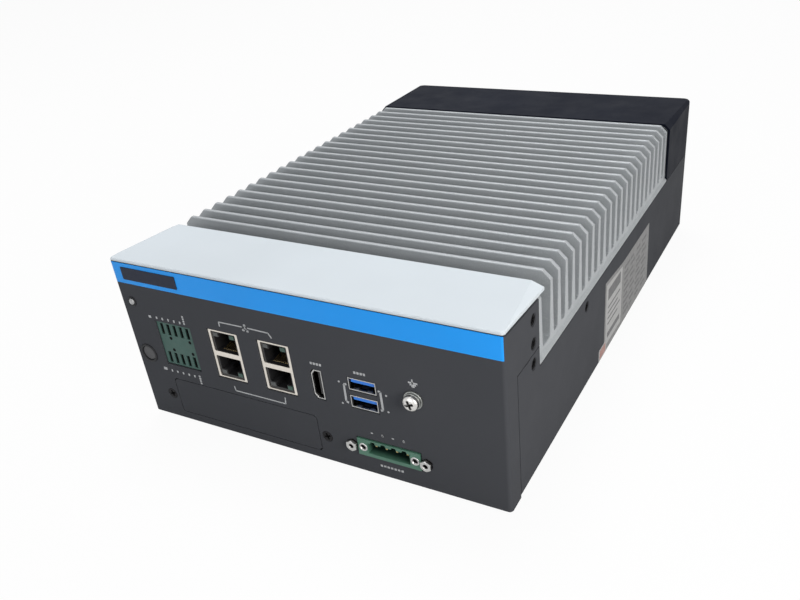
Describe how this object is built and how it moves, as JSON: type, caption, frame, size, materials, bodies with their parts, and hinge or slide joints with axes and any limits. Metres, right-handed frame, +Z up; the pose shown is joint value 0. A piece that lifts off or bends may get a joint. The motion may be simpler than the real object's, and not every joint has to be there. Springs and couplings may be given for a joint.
{
  "type": "fanless industrial pc",
  "caption": "Fanless industrial computer: flat dark metal box with a finned heat sink on top, a pale front cover, a blue band and connectors on the front panel.",
  "frame": {"origin": "under the middle of the whole object's box, on the plane its feet rest on", "axes": "+Z up, +Y from the connector panel towards the rear, +X to the right when looking at the connector panel"},
  "size_m": [0.192, 0.3004, 0.087],
  "materials": {
    "panel_paint": "fine satin powder coat, dark grey",
    "band_film": "smooth blue film",
    "cover_white": "satin white paint",
    "cover_dark": "satin blue-black paint",
    "casting": "bead-blasted casting, silver grey",
    "button_black": "satin black",
    "light_pipe": "frosted clear",
    "window_green": "clear green",
    "black_plastic": "moulded black",
    "terminal_green": "moulded green",
    "contact_metal": "plated contact",
    "shield_steel": "bright plated sheet",
    "tongue_blue": "moulded blue",
    "plated_steel": "nickel plated",
    "black_steel": "black oxide",
    "tray_steel": "zinc plated sheet",
    "drive_case": "satin",
    "board_green": "solder mask",
    "pad_grey": "soft pad",
    "foot_rubber": "matt black"
  },
  "bodies": {
    "case": {"accent_strip": "band_film", "bay_cover": "panel_paint", "bay_screws": "black_steel", "board_riser": "black_plastic", "board_screws": "plated_steel", "board_spacers": "plated_steel", "bracket_nuts": "plated_steel", "button_ring": "button_black", "button_switch": "black_plastic", "carrier_board": "board_green", "carrier_standoffs": "plated_steel", "case_screws": "black_steel", "cell_holder": "black_plastic", "clock_cell": "plated_steel", "compute_module": "board_green", "dio_contacts": "contact_metal", "dio_terminal": "terminal_green", "drive_tray": "tray_steel", "flange_nuts": "plated_steel", "front_board": "board_green", "front_board_header": "black_plastic", "front_panel": "panel_paint", "front_top_plate": "cover_white", "ground_screw": "plated_steel", "ground_washers": "plated_steel", "heat_sink": "casting", "heat_spreader": "drive_case", "lan_contacts": "contact_metal", "lan_insert_left": "black_plastic", "lan_insert_right": "black_plastic", "lan_shell_left": "shield_steel", "lan_shell_right": "shield_steel", "lan_windows": "window_green", "led_ring": "button_black", "lower_chassis": "panel_paint", "module_connector": "black_plastic", "panel_nuts": "plated_steel", "power_board": "board_green", "power_coils": "black_plastic", "power_converter": "black_plastic", "power_pins": "contact_metal", "power_standoffs": "plated_steel", "power_terminal": "terminal_green", "radio_card": "board_green", "radio_socket": "black_plastic", "rear_cover": "cover_dark", "rubber_feet": "foot_rubber", "status_led": "light_pipe", "storage_drive": "drive_case", "terminal_posts": "plated_steel", "thermal_pad": "pad_grey", "usb_insert": "black_plastic", "usb_shell": "shield_steel", "usb_tongues": "tongue_blue", "video_shell": "shield_steel", "video_tongue": "black_plastic"},
    "button": {"power_button": "button_black"}
  },
  "joints": [
    {"name": "button_press", "type": "slide", "parent": "case", "child": "button", "axis": [0, 1, 0], "range_m": [0, 0.0008], "stiffness_N_per_m": 500}
  ]
}
